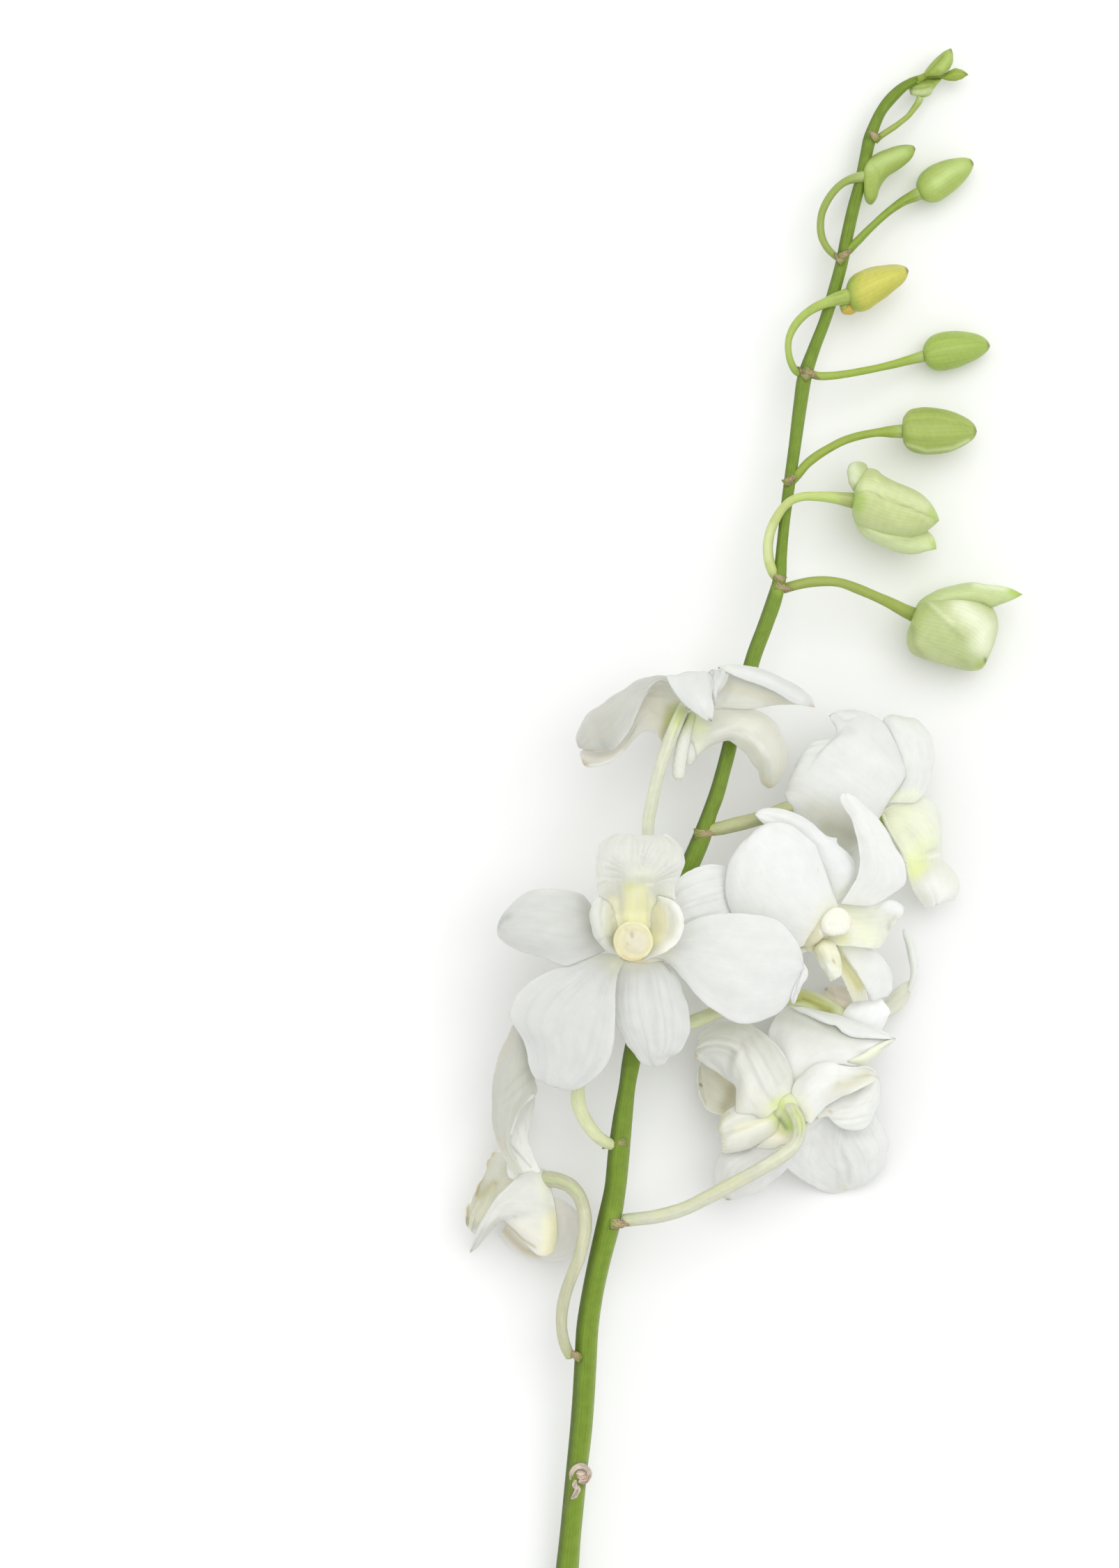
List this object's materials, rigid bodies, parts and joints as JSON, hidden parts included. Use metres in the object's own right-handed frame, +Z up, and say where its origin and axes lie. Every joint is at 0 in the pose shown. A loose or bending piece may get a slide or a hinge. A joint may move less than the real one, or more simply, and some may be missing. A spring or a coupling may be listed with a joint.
{
  "type": "dendrobium orchid stem",
  "caption": "Cut spray of white dendrobium orchid lying down: a green arching stem with stalked open flowers low on it and green buds towards its tip.",
  "frame": {"origin": "middle of the spray's box seen from above, on the surface that the spray lies on", "axes": "+Y along the stem from its cut end to its tip, +Z up from the surface, +X to the right as seen from above"},
  "size_m": [0.1266, 0.3978, 0.052],
  "materials": {
    "stem_green": "living green stem, faint ribs, satin, dry tan bracts at the nodes",
    "pedicel_cream": "cream green flower stalk, ribbed, satin",
    "tepal_white": "white translucent tepal with fine parallel veins, soft satin",
    "lip_white_yellow": "white lip, yellow-green throat, fanned veins, soft satin",
    "column_cream": "cream waxy column with a pale cap",
    "bud_green": "green bud, fine lengthwise veins, satin",
    "bud_pale": "pale green-white bud about to open, fine veins, satin",
    "bud_yellow": "yellow green bud, fine veins, satin"
  },
  "bodies": {
    "root": {"main_stem": "stem_green", "flower_1_pedicel": "pedicel_cream", "flower_1_dorsal_sepal": "tepal_white", "flower_1_lateral_sepals": "tepal_white", "flower_1_petal_1": "tepal_white", "flower_1_petal_2": "tepal_white", "flower_1_lip": "lip_white_yellow", "flower_1_column": "column_cream", "flower_2_pedicel": "pedicel_cream", "flower_2_dorsal_sepal": "tepal_white", "flower_2_lateral_sepals": "tepal_white", "flower_2_petal_1": "tepal_white", "flower_2_petal_2": "tepal_white", "flower_2_lip": "lip_white_yellow", "flower_2_column": "column_cream", "flower_3_pedicel": "pedicel_cream", "flower_3_dorsal_sepal": "tepal_white", "flower_3_lateral_sepals": "tepal_white", "flower_3_petal_1": "tepal_white", "flower_3_petal_2": "tepal_white", "flower_3_lip": "lip_white_yellow", "flower_3_column": "column_cream", "flower_4_pedicel": "pedicel_cream", "flower_4_dorsal_sepal": "tepal_white", "flower_4_lateral_sepals": "tepal_white", "flower_4_petal_1": "tepal_white", "flower_4_petal_2": "tepal_white", "flower_4_lip": "lip_white_yellow", "flower_4_column": "column_cream", "flower_5_pedicel": "pedicel_cream", "flower_5_dorsal_sepal": "tepal_white", "flower_5_lateral_sepals": "tepal_white", "flower_5_petal_1": "tepal_white", "flower_5_petal_2": "tepal_white", "flower_5_lip": "lip_white_yellow", "flower_5_column": "column_cream", "flower_6_pedicel": "pedicel_cream", "flower_6_dorsal_sepal": "tepal_white", "flower_6_lateral_sepals": "tepal_white", "flower_6_petal_1": "tepal_white", "flower_6_petal_2": "tepal_white", "flower_6_lip": "lip_white_yellow", "flower_6_column": "column_cream", "flower_7_pedicel": "pedicel_cream", "flower_7_dorsal_sepal": "tepal_white", "flower_7_lateral_sepals": "tepal_white", "flower_7_petal_1": "tepal_white", "flower_7_petal_2": "tepal_white", "flower_7_lip": "lip_white_yellow", "flower_7_column": "column_cream", "bud_01": "bud_pale", "bud_02": "bud_pale", "bud_03": "bud_green", "bud_04": "bud_green", "bud_05": "bud_yellow", "bud_06": "bud_green", "bud_07": "bud_green", "bud_08": "bud_green", "bud_09": "bud_green", "bud_10": "bud_green"}
  },
  "joints": []
}
